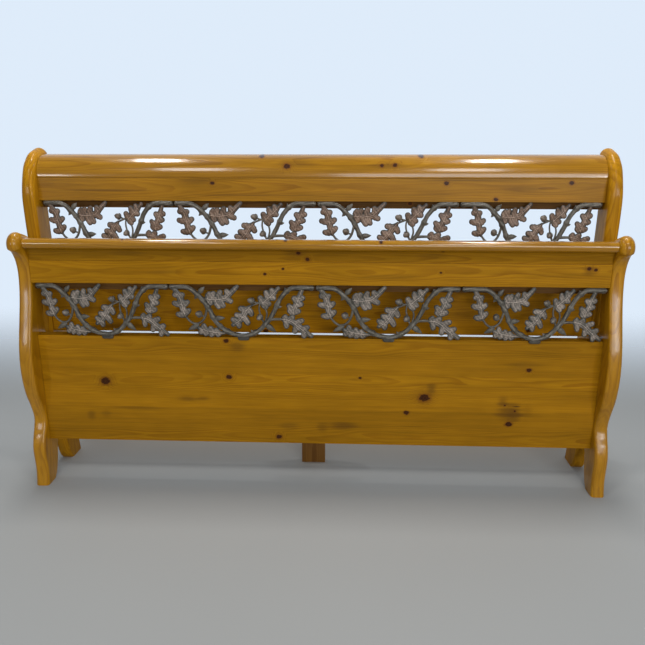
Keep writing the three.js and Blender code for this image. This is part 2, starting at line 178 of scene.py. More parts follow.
# ---- Node helpers ----
class Tree:
    def __init__(self, name):
        self.material = bpy.data.materials.new(name)
        self.material.use_nodes = True
        self.nodes = self.material.node_tree.nodes
        self.links = self.material.node_tree.links
        self.nodes.clear()

    def add(self, kind, *inputs, out=0, **settings):
        node = self.nodes.new("ShaderNode" + kind)
        for key, value in settings.items():
            setattr(node, key, value)
        for i, value in enumerate(inputs):
            self.put(node.inputs[i], value)
        return node.outputs[out]

    def named(self, kind, **values):
        """A node set by the names of its sockets, with underscores for spaces."""
        node = self.nodes.new("ShaderNode" + kind)
        for key, value in values.items():
            self.put(node.inputs[key.replace("_", " ")], value)
        return node.outputs[0]

    def put(self, socket, value):
        if isinstance(value, bpy.types.NodeSocket):
            self.links.new(value, socket)
        elif value is not None:
            socket.default_value = value

    def math(self, operation, *inputs):
        return self.add("Math", *inputs, operation=operation)

    def times(self, a, b):
        return self.math("MULTIPLY", a, b)

    def plus(self, a, b):
        return self.math("ADD", a, b)

    def times_plus(self, a, b, c):
        return self.math("MULTIPLY_ADD", a, b, c)

    def vector(self, operation, *inputs, out=0):
        return self.add("VectorMath", *inputs, operation=operation, out=out)

    def smooth(self, value, low, high, to_low=0.0, to_high=1.0):
        inputs = (value, low, high, to_low, to_high)
        return self.add("MapRange", *inputs, interpolation_type="SMOOTHSTEP")

    def span(self, value, low, high, to_low, to_high):
        return self.add("MapRange", value, low, high, to_low, to_high)

    def noise(self, vector, scale=1.0, detail=2.0, roughness=0.5):
        values = {"Vector": vector, "Scale": scale, "Detail": detail, "Roughness": roughness}
        return self.named("TexNoise", Distortion=0.0, **values)

    def random(self, value):
        return self.add("TexWhiteNoise", None, value, noise_dimensions="1D")

    def mix(self, factor, a, b, blend="MIX"):
        node = self.nodes.new("ShaderNodeMix")
        node.data_type = "RGBA"
        node.blend_type = blend
        for i, value in ((0, factor), (6, a), (7, b)):
            self.put(node.inputs[i], value)
        return node.outputs[2]

    def ramp(self, value, stops):
        node = self.nodes.new("ShaderNodeValToRGB")
        self.put(node.inputs[0], value)
        elements = node.color_ramp.elements
        while len(elements) < len(stops):
            elements.new(0.5)
        for element, (place, color) in zip(elements, stops):
            element.position = place
            element.color = color
        return node.outputs[0]

    def bump(self, height, strength, distance):
        return self.named("Bump", Height=height, Strength=strength, Distance=distance)

    def finish(self, **values):
        shader = self.named("BsdfPrincipled", **values)
        output = self.nodes.new("ShaderNodeOutputMaterial")
        self.links.new(shader, output.inputs[0])
        return self.material


def rgb(red, green, blue):
    return (red, green, blue, 1.0)


# ---- Wood ----
# Coat and specular stay low where a face would mirror the pale studio at a grazing angle.
VARNISHED = {
    "early": rgb(0.35, 0.160, 0.004),
    "late": rgb(0.22, 0.085, 0.002),
    "knot": rgb(0.030, 0.010, 0.004),
    "halo": rgb(0.165, 0.050, 0.005),
    "smudge": rgb(0.085, 0.036, 0.006),
    "roughness": (0.32, 0.46),
    "coat": 0.06,
    "specular": 0.07,
    "contrast": 0.75,
}
# Painted shade: a dark copy of the varnished pine for the core battens, the headboard panel's lower
# batten and the headboard's centre leg, which stand in shade.
PAINTED_SHADE_PINE = {
    **VARNISHED,
    "early": rgb(0.12, 0.055, 0.012),
    "late": rgb(0.075, 0.030, 0.006),
    "roughness": (0.42, 0.6),
    "coat": 0.1,
}
ROLLED = {
    **VARNISHED,
    "roughness": (0.2, 0.3),
    "coat": 0.75,
    "specular": 0.2,
}
FRONT_POST = {
    **VARNISHED,
    "roughness": (0.26, 0.38),
    "coat": 0.35,
    "specular": 0.2,
}
REAR_POST = {
    **VARNISHED,
    "roughness": (0.32, 0.44),
    "coat": 0.13,
    "specular": 0.06,
}
RAW = {
    "early": rgb(0.62, 0.43, 0.22),
    "late": rgb(0.44, 0.25, 0.10),
    "knot": rgb(0.16, 0.065, 0.025),
    "halo": rgb(0.40, 0.21, 0.08),
    "smudge": rgb(0.40, 0.21, 0.08),
    "roughness": (0.55, 0.8),
    "coat": 0.0,
    "specular": 0.4,
    "contrast": 0.75,
}


RING_SPACING = 3.6  # between the growth rings
INSIDE_KNOT = 1.15  # scale of the distance to a knot, so that 1 falls on its rim
KNOT_STRETCH = 1.25  # knots are longer along the grain than across it


def pine(name, axis, look, low, high, knots, smudges, plank, tone, depth):
    """Flat-sawn pine with its grain along an axis.

    low and high are the piece's corners in metres; knots are (along, across, radius) in mm
    and smudges (along, across, half length, half height, strength). depth scales how much
    the grain changes through the piece.
    """
    t = Tree(name)
    seed = random.Random(name)
    xyz = t.add("SeparateXYZ", t.add("TexCoord", out=3))
    x, y, z = xyz, xyz.node.outputs[1], xyz.node.outputs[2]
    along, across = (x, z) if axis == "x" else (z, x)
    across_low = low.z if axis == "x" else low.x
    across_high = high.z if axis == "x" else high.x
    shift = (seed.uniform(0, 50), seed.uniform(0, 50), seed.uniform(0, 50))
    p = t.add("CombineXYZ", along, across, y)

    def streaks(scales, **settings):
        """Noise stretched along the grain, at its own place for every piece."""
        return t.noise(t.vector("MULTIPLY_ADD", p, scales, shift), **settings)

    # planks glued edge to edge, each with its own pith, phase and tone
    height = (plank or 1e4) * MM
    count = (across_high - across_low) / height
    from_edge = t.times_plus(across, 1 / height, -across_low / height)
    index = t.math("FLOOR", from_edge)
    own = t.random(t.plus(index, seed.uniform(1, 90)))
    other = t.random(t.plus(index, seed.uniform(100, 190)))
    width = min(height, across_high - across_low)
    place = t.math("SUBTRACT", from_edge, index)
    if count > 1:
        middle = t.span(own, 0.0, 1.0, 0.15, 0.85)
    else:
        middle = seed.uniform(0.3, 0.7) * width / height
    v = t.times(t.math("SUBTRACT", place, middle), height)
    pith = -seed.uniform(0.035, 0.06)
    w = t.times_plus(y, depth, pith - low.y * depth)
    d = t.math("SQRT", t.plus(t.times(v, v), t.times(w, w)))

    # slow waves, taper along the log, and fine waver
    waves = streaks((1.3, 7.0, 7.0), detail=2.0)
    waver = streaks((7.0, 42.0, 42.0), detail=2.0)
    d = t.times_plus(waves, 0.045, d)
    d = t.times_plus(waver, 0.0035, d)
    taper = t.span(other, 0.0, 1.0, -0.012, 0.012)
    d = t.plus(d, t.times(along, taper))

    # knots, and the grain flowing round them
    nearest = 9.0
    flat = t.add("CombineXYZ", t.times(along, 1 / KNOT_STRETCH), across, 0.0)
    uneven = streaks((95.0, 130.0, 130.0), detail=2.0)
    ragged = t.times_plus(t.plus(waver, uneven), 0.9, -0.78)
    for a, c, radius in knots:
        centre = (a * MM / KNOT_STRETCH, c * MM, 0.0)
        distance = t.vector("DISTANCE", flat, centre, out=1)
        share = t.times(distance, INSIDE_KNOT / (radius * MM))
        nearest = t.math("MINIMUM", nearest, share)
    if knots:
        nearest = t.plus(nearest, ragged)
        d = t.times_plus(t.smooth(nearest, 3.4, 0.7), 0.011, d)

    ring = t.times(d, 1 / (RING_SPACING * MM))
    ring = t.times_plus(own, 7.0, ring)
    turn = t.math("FRACT", ring)
    strength = t.span(t.random(t.math("FLOOR", ring)), 0.0, 1.0, 0.35, 1.0)
    late = t.times(t.smooth(turn, 0.25, 0.9), t.smooth(turn, 1.0, 0.93))
    late = t.times(late, t.times(strength, look["contrast"]))

    fibre = streaks((14.0, 420.0, 420.0), detail=3.0)
    streak = streaks((3.0, 75.0, 75.0), detail=2.0)
    blotch = streaks((2.2, 6.5, 6.5), detail=3.0, roughness=0.6)

    color = t.mix(late, look["early"], look["late"])
    fine, coarse = t.span(fibre, 0.3, 0.7, 0.9, 1.08), t.span(streak, 0.3, 0.7, 0.88, 1.1)
    shade = t.times(fine, coarse)
    shade = t.times(shade, t.span(blotch, 0.3, 0.7, 0.84, 1.14))
    if count > 1:
        shade = t.times(shade, t.span(other, 0.0, 1.0, 0.88, 1.1))
    shade = t.times(shade, tone)
    color = t.mix(1.0, color, t.add("CombineXYZ", shade, shade, shade), blend="MULTIPLY")
    height_map = t.times_plus(fibre, 0.35, t.times(late, 0.5))
    for a, c, long, tall, amount in smudges:
        offset = t.vector("SUBTRACT", t.add("CombineXYZ", along, across, 0.0), (a * MM, c * MM, 0.0))
        reach = t.vector("LENGTH", t.vector("DIVIDE", offset, (long * MM, tall * MM, 1.0)), out=1)
        reach = t.plus(reach, t.span(streak, 0.3, 0.7, -0.3, 0.3))
        color = t.mix(t.smooth(reach, 1.5, 0.2, 0.0, amount), color, look["smudge"])
    if knots:
        color = t.mix(t.smooth(nearest, 2.1, 0.9, 0.0, 0.75), color, look["halo"])
        rings = t.math("SINE", t.times(nearest, 16.0))
        heart = t.mix(t.span(rings, -1.0, 1.0, 0.0, 0.3), look["knot"], look["halo"])
        color = t.mix(t.smooth(nearest, 1.08, 0.86), color, heart)
        rim = t.times(t.smooth(nearest, 0.8, 0.98), t.smooth(nearest, 1.2, 1.0))
        color = t.mix(t.times(rim, 0.8), color, look["knot"])
        height_map = t.times_plus(rim, -0.6, height_map)
    low_rough, high_rough = look["roughness"]
    cloudy = t.plus(blotch, t.times(fibre, 0.3))
    rough = t.times_plus(late, -0.2, cloudy)
    roughness = t.span(rough, 0.3, 0.9, low_rough, high_rough)
    return t.finish(
        Base_Color=color,
        Roughness=roughness,
        Specular_IOR_Level=look["specular"],
        Coat_Weight=look["coat"],
        Coat_Roughness=0.12,
        Normal=t.bump(height_map, 0.5, 0.35 * MM),
    )


# ---- Metals ----
def cast_iron(name, leaf_dark, leaf_edge, leaf_mid, leaf_pale):
    """Painted cast iron, rubbed back so that the raised parts are pale."""
    t = Tree(name)
    coords = t.add("TexCoord", out=3)
    relief = t.add("Attribute", attribute_name="relief", out=2)
    leaf = t.add("Attribute", attribute_name="leaf", out=2)
    patches = t.noise(coords, scale=55.0, detail=4.0, roughness=0.65)
    grain = t.noise(coords, scale=900.0, detail=3.0, roughness=0.7)
    level = t.plus(relief, t.span(patches, 0.3, 0.7, -0.22, 0.22))
    level = t.plus(level, t.span(grain, 0.3, 0.7, -0.08, 0.08))
    stems = t.ramp(level, [
        (0.0, rgb(0.022, 0.018, 0.014)),
        (0.45, rgb(0.088, 0.079, 0.062)),
        (0.75, rgb(0.17, 0.155, 0.128)),
        (1.0, rgb(0.34, 0.33, 0.30)),
    ])
    leaves = t.ramp(level, [
        (0.0, leaf_dark), (0.22, leaf_edge), (0.52, leaf_mid), (0.92, leaf_pale),
    ])
    return t.finish(
        Base_Color=t.mix(leaf, stems, leaves),
        Metallic=0.25,
        Roughness=t.span(patches, 0.3, 0.7, 0.42, 0.62),
        Normal=t.bump(t.times_plus(patches, 0.6, grain), 0.45, 0.3 * MM),
    )


def zinc_steel():
    t = Tree("zinc_steel")
    coords = t.add("TexCoord", out=3)
    spangle = t.noise(coords, scale=90.0, detail=3.0, roughness=0.6)
    drawn = t.noise(t.vector("MULTIPLY", coords, (900.0, 900.0, 25.0)), detail=2.0)
    tarnish = t.noise(coords, scale=30.0, detail=4.0, roughness=0.7)
    color = t.mix(t.smooth(spangle, 0.35, 0.7), rgb(0.34, 0.35, 0.36), rgb(0.55, 0.56, 0.56))
    color = t.mix(t.smooth(tarnish, 0.56, 0.72, 0.0, 0.6), color, rgb(0.16, 0.13, 0.10))
    return t.finish(
        Base_Color=color,
        Metallic=0.9,
        Roughness=t.span(t.plus(drawn, tarnish), 0.6, 1.4, 0.25, 0.5),
        Normal=t.bump(drawn, 0.3, 0.05 * MM),
    )


# ---- Posts ----
# Outlines are (u, z), u outwards from the bed; the scroll is an arc between outer and inner.
FOOT_POST = {
    "outer": [
        (57, 0), (48, 60), (52, 135), (40, 183), (24, 218), (16, 252), (30, 300), (51, 350),
        (63, 402), (67, 460), (61, 515), (48, 570), (28, 635), (11, 695), (2, 745), (0, 785),
        (5, 815), (15, 838), (36, 857),
    ],
    "scroll": 885,
    "ball": (833, 867),
    "inner": [
        (22, 925), (-32, 906), (-62, 884), (-78, 852), (-89, 817), (-93, 770), (-90, 730),
        (-80, 688), (-68, 640), (-60, 590),
    ],
    "heel": [(-60, 140), (-54, 88), (-42, 46), (-28, 15), (-14, 0)],
}
HEAD_POST = {
    "outer": [
        (57, 0), (48, 60), (52, 135), (40, 183), (24, 218), (16, 252), (30, 300), (51, 355),
        (65, 430), (66, 490), (58, 560), (43, 640), (24, 735), (10, 840), (3, 940), (1, 1050),
        (5, 1082), (15, 1105), (36, 1124),
    ],
    "scroll": 1152,
    "ball": (1002, 1122),
    "inner": [
        (22, 1192), (-28, 1177), (-56, 1156), (-76, 1133), (-92, 1095), (-101, 1045),
        (-101, 980), (-97, 900), (-87, 770), (-78, 665), (-74, 590),
    ],
    "heel": [(-74, 140), (-68, 88), (-56, 46), (-42, 15), (-28, 0)],
}
SCROLL_U, SCROLL_RADIUS, SCROLL_START = 22.0, 40.0, -0.6
EDGE_RADIUS, BALL_RADIUS = 11.0, 22.5  # of the edges: along the post, and round the scroll
EDGE_STEPS = 9
CREASE = 38  # degrees above which an edge of a post shows as sharp
NOT_CROSSED = 0.94  # a moved point nearer the outline than this share of its inset has crossed
RUN_OUT = 26.0  # length over which the rounding fades into the square rail zone
PLATE = {"half": 11.3, "depth": 3.3, "low": 209.7, "high": 360.3}
POCKET = {"half": 6.0, "depth": 14.0, "low": 224.0, "high": 350.0}


def post_outline(post):
    """Points round the outline, and how far the edges are rounded at each."""
    outer = catmull(post["outer"], 6)
    angles = np.linspace(SCROLL_START, math.pi / 2, 26)[1:-1]
    arc = np.array([
        (SCROLL_U + SCROLL_RADIUS * math.cos(a), post["scroll"] + SCROLL_RADIUS * math.sin(a))
        for a in angles
    ])
    inner = catmull(post["inner"], 6)
    flat_u = post["inner"][-1][0]
    top, bottom = post["inner"][-1][1], post["heel"][0][1]
    straight = np.array([(flat_u, z) for z in np.linspace(top, bottom, 12)[1:-1]])
    heel = catmull(post["heel"], 6)
    above = np.clip((inner[:, 1] - top) / RUN_OUT, 0, 1)
    below = np.clip((bottom - heel[:, 1]) / RUN_OUT, 0, 1)
    points = np.vstack([outer, arc, inner, straight, heel])
    full = np.ones(len(outer) + len(arc))
    rounded = np.concatenate([full, above, np.zeros(len(straight)), below])
    return points, rounded * rounded * (3 - 2 * rounded)


def inset(points, inward, depth, region):
    """The outline moved inwards by depth; a sharp corner in the region makes no loop."""
    moved = points + inward * depth[:, None]
    along = np.roll(points, -1, 0) - points
    share = ((moved[:, None] - points) * along).sum(2) / (along**2).sum(1)
    nearest = points + np.clip(share, 0, 1)[:, :, None] * along
    gap = np.linalg.norm(moved[:, None] - nearest, axis=2).min(1)
    crossed = region & (gap < depth * NOT_CROSSED)
    every = np.arange(len(points))
    for k in (0, 1):
        moved[:, k] = np.interp(every, every[~crossed], moved[~crossed, k], period=len(points))
    return moved


def add_post(node, post, side, outwards, plane, material):
    points, rounded = post_outline(post)
    if outwards < 0:
        points[:, 0] = np.minimum(points[:, 0], (plane - cad_bounds[0][1]) / MM)
    tangent = np.roll(points, -1, 0) - np.roll(points, 1, 0)
    inward = np.stack([-tangent[:, 1], tangent[:, 0]], 1)
    inward /= np.linalg.norm(inward, axis=1)[:, None]
    sole = points[:, 1] < 0.01
    inward[sole] = np.stack([np.sign(inward[sole, 0]), np.zeros(sole.sum())], 1)
    low, high = post["ball"]
    swell = np.clip((points[:, 1] - low) / (high - low), 0, 1)
    radius = EDGE_RADIUS + (BALL_RADIUS - EDGE_RADIUS) * swell * swell * (3 - 2 * swell)
    turns = np.linspace(0, math.pi / 2, EDGE_STEPS)
    stations = [(-1, a) for a in turns] + [(0, math.pi / 2)] + [(1, a) for a in turns[::-1]]
    verts = []
    for sign, turn in stations:
        x = sign * (POST / 2 - radius * (1 - math.cos(turn)))
        depth = radius * (1 - math.sin(turn)) * rounded
        moved = inset(points, inward, depth, points[:, 1] > low)
        for across, (u, z) in zip(x, moved):
            place = (side * POST_X + across, plane / MM + outwards * u, max(z, 0.0))
            verts.append([value * MM for value in place])
    faces = ring_faces(len(stations), len(points))
    obj = make_object(f"{node}_shaped", verts, faces, material, crease=CREASE)
    edge = plane + outwards * post["heel"][0][0] * MM
    cutters = []
    for shape in (PLATE, POCKET):
        x = [(side * POST_X + k * shape["half"]) * MM for k in (-1, 1)]
        y = sorted([edge - outwards * MM, edge + outwards * shape["depth"] * MM])
        cutters.append(box_object(x, y, [shape["low"] * MM, shape["high"] * MM]))
    cut(obj, cutters)
    obj.data.set_sharp_from_angle(angle=math.radians(CREASE))
    return stand_for(obj, node)


# ---- Crest ----
NOSE = {"u": 21.0, "z": 61.0, "radius": 17.0}
CROWN = {"u": 13.0, "back": -65.85, "height": 77.85}
COVE = {"depth": 20.0, "height": 44.0, "back": -14.0, "step": 2.5}
HALF_GAP = SEAM_GAP / MM


def arc_points(u, z, ru, rz, start, end, steps):
    angles = np.linspace(start, end, steps + 1)
    return [(u + ru * math.cos(a), z + rz * math.sin(a)) for a in angles]


def roll_section():
    e = HALF_GAP
    ru = CROWN["u"] - CROWN["back"]
    return [
        *arc_points(NOSE["u"], NOSE["z"], NOSE["radius"], NOSE["radius"], -1.75, math.pi / 2, 40),
        *arc_points(CROWN["u"], e, ru, CROWN["height"], math.pi / 2, math.pi - 0.03, 36),
        (CROWN["back"] + 0.5, 0.9),
        (CROWN["back"] + 1.8, e),
        (COVE["back"] - e, e),
        (COVE["back"] - e, COVE["height"] + e),
    ]


def cove_section():
    e = HALF_GAP
    step = COVE["step"]
    reach = COVE["depth"] + step
    hollow = arc_points(COVE["depth"], 0, reach, COVE["height"] - e, math.pi, math.pi / 2, 24)
    return [(COVE["back"] + e, e), (-step, e), *hollow[1:], (COVE["back"] + e, COVE["height"] - e)]


def add_moulding(node, section, outwards, plane, seam, material):
    half = INNER - 2 * HALF_GAP
    stations = np.linspace(-half, half, 25)
    verts = [
        (x * MM, plane + outwards * u * MM, seam + z * MM) for x in stations for u, z in section
    ]
    faces = ring_faces(len(stations), len(section))
    obj = make_object(f"{node}_shaped", verts, faces, material, crease=30)
    return stand_for(obj, node)


# ---- Castings: one unit in (s, t, h): right, up from the panel's edge, towards the front ----
CASTING_DEPTH = 5.0  # middle plane of the castings in front of the panel's face
UNITS = [  # left end, ends of the vine in the unit, and place and scale of the rest
    {"start": -975.0, "vine": (14, 471), "shift": 18.7, "scale": 0.909},
    {"start": -502.0, "vine": (3, 497), "shift": 0.0, "scale": 1.0},
    {"start": -2.0, "vine": (3, 487), "shift": 0.0, "scale": 1.0},
    {"start": 488.0, "vine": (3, 478), "shift": 28.7, "scale": 0.909},
]
RIM = 180  # height of the vine's ends over the panel's edge
VINE_RADIUS = 7.8
LUG = {"inset": 3, "width": 14, "bottom": (170, 184), "depth": (-26.7, 3)}
MIDDLE_LUG = {"at": 252, "half": 20, "height": (-9, 9), "depth": (-4.7, 3)}
VINE = [
    (40, 180), (62, 178), (82, 168), (99, 152), (115, 136), (127, 118), (139, 98),
    (149, 74), (162, 53), (180, 35), (200, 22), (222, 13), (247, 9), (270, 11), (292, 19),
    (312, 33), (329, 51), (344, 68), (355, 87), (364, 105), (372, 122), (382, 142), (397, 161),
    (413, 174), (434, 180),
]
KNUCKLES = [  # where the vine swells
    (98, 153), (116, 134), (131, 110), (149, 73), (172, 42), (198, 23), (292, 19), (329, 51),
    (370, 119), (404, 168),
]
STEMS = [  # through, radius at the start and end
    ([(130, 112), (126, 91), (119, 71), (104, 54), (84, 50), (67, 60), (56, 74)], 4.6, 3.8),
    ([(325, 54), (314, 80), (309, 103), (311, 124)], 3.6, 2.8),
    ([(328, 56), (335, 86), (328, 111), (314, 126)], 3.6, 2.8),
    ([(343, 67), (364, 69), (388, 69)], 5.2, 4.4),
    ([(312, 125), (300, 126), (289, 132)], 3.8, 3.0),
    ([(306, 125), (292, 120), (279, 114)], 3.6, 3.2),
    ([(118, 132), (124, 137), (132, 140)], 4.2, 3.4),
    ([(198, 23), (190, 18), (182, 17)], 4.0, 3.0),
    ([(404, 70), (414, 78), (424, 88)], 3.6, 3.0),
    ([(325, 56), (318, 66), (314, 74)], 3.2, 2.6),
    ([(121, 76), (112, 78), (104, 82)], 3.2, 2.6),
    ([(311, 122), (316, 124), (324, 128)], 3.4, 3.0),
]
LEAVES = [  # midrib from the stalk to the tip, tips of the lobes, half width of the body
    {"mid": [(55, 73), (47, 98), (42, 125), (34, 150), (18, 176)], "body": 11.5,
     "lobes": [(28, 82), (17, 121), (22, 152), (65, 96), (61, 125), (45, 151)],
     "lift": (0.0, 3.0), "cup": -1.5},
    {"mid": [(130, 139), (150, 136), (172, 137), (193, 142), (213, 160), (234, 181)],
     "body": 11.5,
     "lobes": [
         (139, 156), (153, 157), (176, 162), (199, 165), (142, 124), (170, 112), (185, 115),
         (211, 131),
     ],
     "lift": (1.0, -1.5), "cup": 2.0},
    {"mid": [(186, 17), (160, 19), (132, 25), (98, 34)], "body": 8.0,
     "lobes": [(158, 27), (139, 33), (115, 43), (163, 11), (142, 11), (121, 14), (104, 19)],
     "lift": (1.0, 3.0), "cup": -1.0},
    {"mid": [(280, 115), (264, 97), (251, 76), (237, 60), (217, 47)], "body": 11.5,
     "lobes": [(245, 104), (231, 82), (218, 66), (281, 86), (268, 54), (238, 42)],
     "lift": (0.0, 3.5), "cup": -2.0},
    {"mid": [(320, 123), (335, 138), (353, 153), (375, 177)], "body": 10.0,
     "lobes": [(314, 143), (334, 163), (353, 170), (331, 112), (342, 123), (359, 143)],
     "lift": (1.0, 2.0), "cup": 2.0},
    {"mid": [(425, 88), (428, 105), (438, 126), (447, 150), (456, 175)], "body": 10.5,
     "lobes": [(413, 98), (411, 116), (429, 142), (443, 98), (453, 122), (457, 143)],
     "lift": (2.0, -1.0), "cup": -1.5},
    {"mid": [(386, 68), (406, 67), (426, 57), (446, 40), (467, 24), (487, 11)], "body": 12.0,
     "lobes": [(398, 78), (422, 76), (454, 65), (473, 41), (402, 45), (431, 28), (462, 11)],
     "lift": (0.0, 2.5), "cup": 2.0},
]
ACORNS = [  # stalk end, direction of the nut, radius
    ((103, 84), (-0.55, 0.35, 0.75), 11.5),
    ((286, 133), (-0.8, 0.3, 0.45), 11.5),
    ((313, 77), (-0.6, -0.3, 0.7), 11.0),
]
BUDS = [  # root, tip, half width
    ((103, 158), (124, 181), 9.5),
    ((101, 151), (87, 137), 6.0),
    ((154, 69), (190, 72), 9.5),
    ((98, 46), (61, 27), 9.5),
    ((369, 112), (387, 114), 6.0),
    ((328, 52), (366, 23), 10.5),
    ((288, 17), (278, 30), 6.0),
    ((404, 166), (397, 180), 5.5),
]


class Shell:
    """Closed shells of one casting, with the relief and leaf shares of every vertex."""

    def __init__(self):
        self.verts, self.faces, self.relief, self.leaf = [], [], [], []

    def put(self, verts, faces, relief, leaf):
        start = len(self.verts)
        self.verts.extend(map(tuple, verts))
        self.faces.extend(tuple(start + i for i in face) for face in faces)
        self.relief.extend(np.broadcast_to(relief, len(verts)))
        self.leaf.extend(np.broadcast_to(leaf, len(verts)))


def tube(shell, points, start_radius, end_radius, sides, step, lift=0.0, bark=0.0, knuckles=()):
    """A round rod through points (s, t), with bark ridges and swellings, closed at both ends."""
    fine = catmull(points, 24)
    length = arc_lengths(fine)
    count = max(4, int(length[-1] / step))
    at = np.linspace(0, length[-1], count + 1)
    path = np.stack([np.interp(at, length, fine[:, k]) for k in (0, 1)], 1)
    tangent = np.gradient(path, axis=0)
    tangent /= np.linalg.norm(tangent, axis=1)[:, None]
    radius = start_radius + (end_radius - start_radius) * at / length[-1]
    for k in knuckles:
        away = np.linalg.norm(path - np.array(k), axis=1)
        radius = radius + 2.6 * bell(away, 6.5)
    angles = np.arange(sides) * 2 * math.pi / sides
    verts, relief = [], []
    for i, (p, d, r, l) in enumerate(zip(path, tangent, radius, at)):
        across = np.array([-d[1], d[0]])
        ridge = np.sin(4 * angles + l * 0.11 + 1.7 * math.sin(l * 0.043)) * 0.6
        ridge = ridge + np.sin(7 * angles - l * 0.19) * 0.4
        ring = r * (1 + bark * ridge)
        end = min(i, count - i)
        ring = ring * (0.55 if end == 0 else 0.9 if end == 1 else 1.0)
        for a, q, k in zip(angles, ring, ridge):
            h = math.sin(a)
            s, t = p + across * math.cos(a) * q
            verts.append((s, t, lift + h * q))
            relief.append(0.4 + 0.22 * k * min(1.0, bark * 14) + 0.16 * h)
    shell.put(verts, ring_faces(count + 1, sides), relief, 0.0)


def lathe(shell, root, axis, profile, sides, squash=1.0, scales=0.0, relief=0.5, leaf=0.0):
    """A turned form along a 3-D axis from root; profile is (along, radius, share of scales)."""
    axis = Vector(axis).normalized()
    side = axis.cross(Vector((0, 0, 1)))
    side = side.normalized() if side.length > 0.05 else Vector((1, 0, 0))
    up = side.cross(axis)
    verts, tones = [], []
    for i, (x, r, s) in enumerate(profile):
        for k in range(sides):
            a = 2 * math.pi * (k + 0.5 * (i % 2) * (s > 0)) / sides
            bump = 1 + scales * s * (1 if (k + i) % 2 else -1)
            q = r * bump
            spin = side * (math.cos(a) * q) + up * (math.sin(a) * q * squash)
            verts.append(Vector(root) + axis * x + spin)
            scaly = 0.18 * (bump - 1) / scales if scales > 0 else 0.0
            tones.append(relief + scaly + 0.12 * math.sin(a))
    shell.put(verts, ring_faces(len(profile), sides), tones, leaf)


def acorn(shell, root, axis, radius):
    r = radius
    s, t = root
    nut = [
        (0.0, 0.5 * r, 0), (0.1 * r, 0.8 * r, 0), (0.45 * r, 0.86 * r, 0), (0.85 * r, 0.8 * r, 0),
        (1.2 * r, 0.62 * r, 0), (1.42 * r, 0.38 * r, 0), (1.52 * r, 0.16 * r, 0),
        (1.68 * r, 0.07 * r, 0),
    ]
    cap = [
        (-0.72 * r, 0.16 * r, 0), (-0.62 * r, 0.5 * r, 1), (-0.42 * r, 0.8 * r, 1),
        (-0.18 * r, 0.99 * r, 1), (0.08 * r, 1.06 * r, 1), (0.28 * r, 1.03 * r, 1),
        (0.36 * r, 0.92 * r, 0), (0.3 * r, 0.7 * r, 0),
    ]
    lathe(shell, (s, t, 1.0), axis, nut, 16, relief=0.55, leaf=0.35)
    lathe(shell, (s, t, 1.0), axis, cap, 20, scales=0.045, relief=0.42, leaf=0.2)


def bud(shell, root, tip, half):
    direction = Vector((tip[0] - root[0], tip[1] - root[1], 0))
    n = direction.length
    profile = [
        (-0.06 * n, 0.2 * half, 0), (0.06 * n, 0.55 * half, 0), (0.22 * n, 0.9 * half, 0),
        (0.4 * n, half, 0), (0.58 * n, 0.86 * half, 0), (0.76 * n, 0.58 * half, 0),
        (0.9 * n, 0.28 * half, 0), (n, 0.06 * half, 0),
    ]
    lathe(shell, (root[0], root[1], 0.5), direction, profile, 12, squash=0.62, relief=0.42)


def segment_distance(points, line):
    """Distance of every point to a polyline, and the share of its length at the nearest place."""
    best = np.full(len(points), 1e9)
    share = np.zeros(len(points))
    lengths = np.linalg.norm(np.diff(line, axis=0), axis=1)
    total = lengths.sum()
    nearest = np.zeros_like(points)
    run = 0.0
    for a, b, n in zip(line[:-1], line[1:], lengths):
        u = np.clip(((points - a) @ (b - a)) / (n * n), 0, 1)
        place = a + u[:, None] * (b - a)
        d = np.linalg.norm(points - place, axis=1)
        closer = d < best
        best = np.where(closer, d, best)
        share = np.where(closer, (run + u * n) / total, share)
        nearest = np.where(closer[:, None], place, nearest)
        run += n
    return best, share, nearest


LEAF_STEP = 2.1  # mesh spacing over a leaf
VEIN_SWING = 0.34  # how far back along the midrib a side vein starts, of the lobe's reach


def leaf_veins(leaf):
    """The midrib and the curved side veins, as polylines."""
    mid = catmull(leaf["mid"], 8)
    lengths = arc_lengths(mid)
    veins = [mid]
    for lobe in leaf["lobes"]:
        tip = np.array(lobe, float)
        reach, share, _ = segment_distance(tip[None], mid)
        root_at = np.clip(share[0] - VEIN_SWING * reach[0] / lengths[-1], 0.03, 0.9) * lengths[-1]
        root = np.array([np.interp(root_at, lengths, mid[:, k]) for k in (0, 1)])
        ahead = np.array([np.interp(root_at + 4, lengths, mid[:, k]) for k in (0, 1)]) - root
        bend = (root + tip) / 2 - ahead * 0.06 * reach[0] / 4
        veins.append(catmull([root, bend, tip], 5))
    return veins


def leaf_field(points, veins, wobble, body):
    """Signed distance inside a lobed outline: rounded fingers round the midrib and veins."""
    total = np.zeros(len(points))
    softness = 1.3
    for i, vein in enumerate(veins):
        d, share, _ = segment_distance(points, vein)
        if i == 0:
            radius = 4.0 + (body - 4.0) * np.sin(np.clip(share * 1.6 + 0.02, 0, 0.5) * math.pi)
            radius = radius - (body - 7.0) * np.clip((share - 0.6) / 0.4, 0, 1)
        else:
            radius = 8.8 + 2.4 * np.sin(share * 2.6 + 0.2)
        radius = radius + 0.5 * np.sin(share * 15 + i * 2 + wobble)
        total += np.exp(np.clip((radius - d) / softness, -40, 40))
    return softness * np.log(np.maximum(total, 1e-12))


